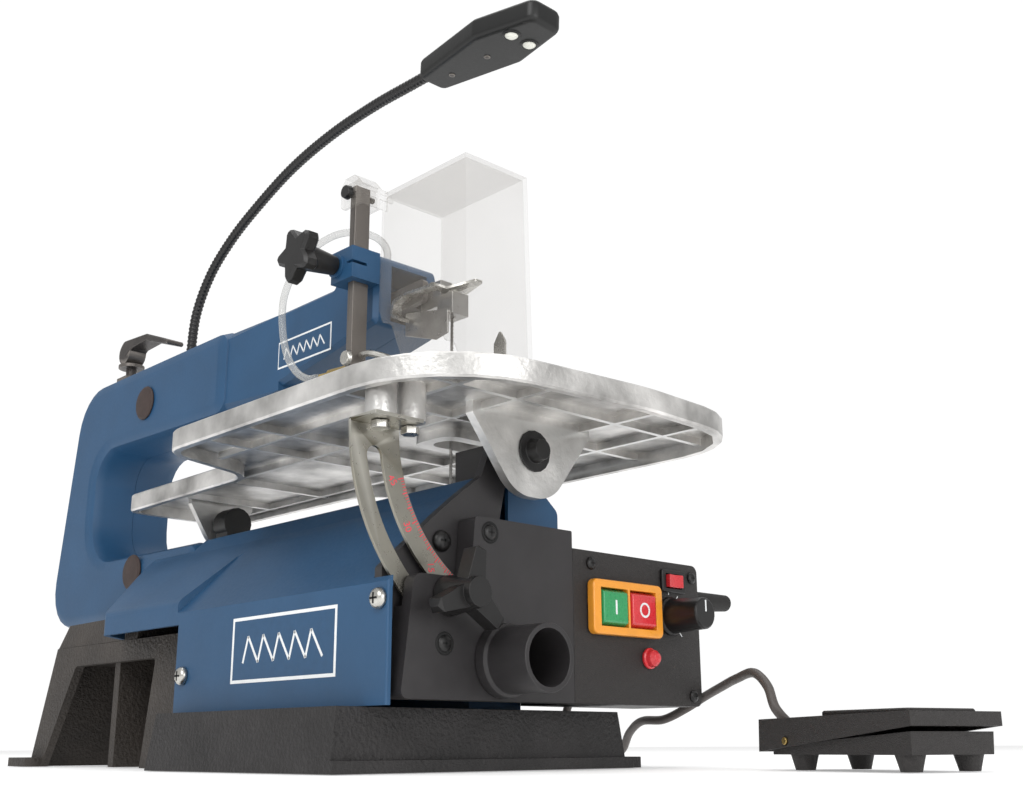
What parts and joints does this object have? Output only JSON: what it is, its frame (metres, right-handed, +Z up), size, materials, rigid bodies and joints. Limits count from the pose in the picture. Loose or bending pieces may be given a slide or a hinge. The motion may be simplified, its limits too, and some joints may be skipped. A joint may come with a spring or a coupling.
{
  "type": "scroll saw",
  "caption": "Benchtop scroll saw with tilting table, blade guard, quick tension lever, work lamp, air hose and a cabled foot switch.",
  "frame": {"origin": "centre of the base's footprint, on the bench plane", "axes": "+X to the operator's right, +Y from the operator to the back of the machine, +Z up"},
  "size_m": [0.3465, 0.7747, 0.4758],
  "materials": {
    "iron": "rough",
    "blue_paint": "satin",
    "black_plastic": "matte",
    "alloy": "satin",
    "steel": "satin",
    "dark_steel": "satin",
    "brass": "satin",
    "clear_plastic": "gloss",
    "rubber": "matte",
    "yellow_plastic": "gloss",
    "green_plastic": "gloss",
    "red_plastic": "gloss"
  },
  "bodies": {
    "machine": {"base_casting": "iron", "frame_shell_left": "blue_paint", "frame_shell_right": "blue_paint", "upper_pivot_cap": "black_plastic", "lower_pivot_cap": "black_plastic", "upper_pivot_pin": "steel", "lower_pivot_pin": "steel", "lower_cover_left": "blue_paint", "lower_cover_right": "blue_paint", "cover_screw_front": "steel", "cover_screw_rear": "steel", "control_housing": "black_plastic", "switch_plate": "black_plastic", "dust_port": "black_plastic", "switch_frame": "yellow_plastic", "rocker_bezel": "black_plastic", "pilot_lamp": "red_plastic", "lead_boot": "rubber", "cable_gland": "rubber", "motor_housing": "black_plastic", "end_plate": "black_plastic", "rear_trunnion": "black_plastic", "post_clamp": "blue_paint", "air_hose": "clear_plastic", "pedal_base": "black_plastic", "pedal_pin": "brass", "pedal_cable_coil": "rubber", "pedal_cable_rear": "rubber", "pedal_cable_front": "rubber"},
    "upper_arm": {"upper_rocker_arm": "dark_steel"},
    "lower_arm": {"lower_rocker_arm": "dark_steel", "connecting_rod": "steel"},
    "blade_set": {"blade": "steel", "upper_blade_clamp": "steel", "lower_blade_clamp": "steel"},
    "blade_lever": {"clamp_lever": "steel"},
    "tension_link": {"tension_rod": "dark_steel"},
    "release_lever": {"tension_lever": "dark_steel"},
    "table": {"table_top": "alloy", "table_insert": "alloy", "tilt_quadrant": "steel", "quadrant_screw_1": "steel", "quadrant_screw_2": "steel", "front_pivot_bolt": "black_plastic"},
    "tilt_knob": {"tilt_lock_knob": "black_plastic"},
    "hold_down": {"hold_down_post": "dark_steel", "presser_foot": "steel", "foot_screw": "steel", "air_nozzle": "brass"},
    "guard": {"guard_shield": "clear_plastic", "guard_screw": "black_plastic"},
    "clamp_knob": {"post_clamp_knob": "black_plastic"},
    "dial": {"speed_knob": "black_plastic"},
    "start_key": {"start_button": "green_plastic"},
    "stop_key": {"stop_button": "red_plastic"},
    "lamp_switch": {"light_rocker": "red_plastic"},
    "lamp_neck": {"gooseneck": "black_plastic"},
    "lamp": {"lamp_head": "black_plastic"},
    "treadle": {"pedal_cover": "black_plastic"},
    "rotor": {"motor_rotor": "steel"}
  },
  "joints": [
    {"name": "upper_arm_rock", "type": "hinge", "parent": "machine", "child": "upper_arm", "pos_m": [0, 0.152, 0.286], "axis": [1, 0, 0], "range_deg": [-1, 1]},
    {"name": "lower_arm_rock", "type": "hinge", "parent": "machine", "child": "lower_arm", "pos_m": [0, 0.152, 0.147], "axis": [1, 0, 0], "range_deg": [-1, 1]},
    {"name": "blade_hinge", "type": "hinge", "parent": "upper_arm", "child": "blade_set", "pos_m": [0, -0.172, 0.303], "axis": [1, 0, 0], "range_deg": [-1, 1]},
    {"name": "tension_hinge", "type": "hinge", "parent": "upper_arm", "child": "tension_link", "pos_m": [0, 0.262, 0.29], "axis": [1, 0, 0], "range_deg": [-1, 1]},
    {"name": "tension_release", "type": "hinge", "parent": "tension_link", "child": "release_lever", "pos_m": [0, 0.262, 0.3621], "axis": [-1, 0, 0], "range_deg": [0, 100]},
    {"name": "blade_clamp_flip", "type": "hinge", "parent": "blade_set", "child": "blade_lever", "pos_m": [0, -0.1885, 0.2988], "axis": [-1, 0, 0], "range_deg": [0, 15]},
    {"name": "table_tilt", "type": "hinge", "parent": "machine", "child": "table", "pos_m": [0, -0.25, 0.179], "axis": [0, -1, 0], "range_deg": [0, 35]},
    {"name": "tilt_knob_turn", "type": "hinge", "parent": "machine", "child": "tilt_knob", "pos_m": [-0.0633, -0.27, 0.09026], "axis": [0, 1, 0], "range_deg": [-180, 180]},
    {"name": "hold_down_height", "type": "slide", "parent": "machine", "child": "hold_down", "axis": [0, 0, 1], "range_m": [-0.026, 0.02], "deforming": ["air_hose"]},
    {"name": "guard_flip", "type": "hinge", "parent": "hold_down", "child": "guard", "pos_m": [-0.038, -0.136, 0.372], "axis": [-1, 0, 0], "range_deg": [0, 50]},
    {"name": "clamp_knob_turn", "type": "hinge", "parent": "machine", "child": "clamp_knob", "pos_m": [-0.08, -0.129, 0.32], "axis": [1, 0, 0], "range_deg": [-180, 180]},
    {"name": "speed_dial", "type": "hinge", "parent": "machine", "child": "dial", "pos_m": [0.121, -0.27, 0.0915], "axis": [0, 1, 0], "range_deg": [-140, 140]},
    {"name": "start_press", "type": "slide", "parent": "machine", "child": "start_key", "axis": [0, 1, 0], "range_m": [0, 0.0028], "stiffness_N_per_m": 700},
    {"name": "stop_press", "type": "slide", "parent": "machine", "child": "stop_key", "axis": [0, 1, 0], "range_m": [0, 0.0028], "stiffness_N_per_m": 700},
    {"name": "lamp_switch_rock", "type": "hinge", "parent": "machine", "child": "lamp_switch", "pos_m": [0.1245, -0.2605, 0.1137], "axis": [0, 0, 1], "range_deg": [-8, 8]},
    {"name": "lamp_swivel", "type": "hinge", "parent": "machine", "child": "lamp_neck", "pos_m": [0, 0.153, 0.33], "axis": [0, 0, 1], "range_deg": [-60, 60]},
    {"name": "lamp_tilt", "type": "hinge", "parent": "lamp_neck", "child": "lamp", "pos_m": [0, -0.162, 0.469], "axis": [1, 0, 0], "range_deg": [-20, 20]},
    {"name": "pedal_press", "type": "hinge", "parent": "machine", "child": "treadle", "pos_m": [0.113, -0.37518, 0.015], "axis": [0.9659, -0.2588, 0], "range_deg": [0, 2.4], "stiffness_Nm_per_rad": 2, "springref_deg": -1.15},
    {"name": "motor_spin", "type": "hinge", "parent": "machine", "child": "rotor", "pos_m": [0, -0.096, 0.092], "axis": [1, 0, 0], "continuous": true}
  ],
  "couplings": [
    {"joint": "lower_arm_rock", "follows": "upper_arm_rock", "ratio": 1},
    {"joint": "blade_hinge", "follows": "upper_arm_rock", "ratio": -1},
    {"joint": "tension_hinge", "follows": "upper_arm_rock", "ratio": -1}
  ]
}
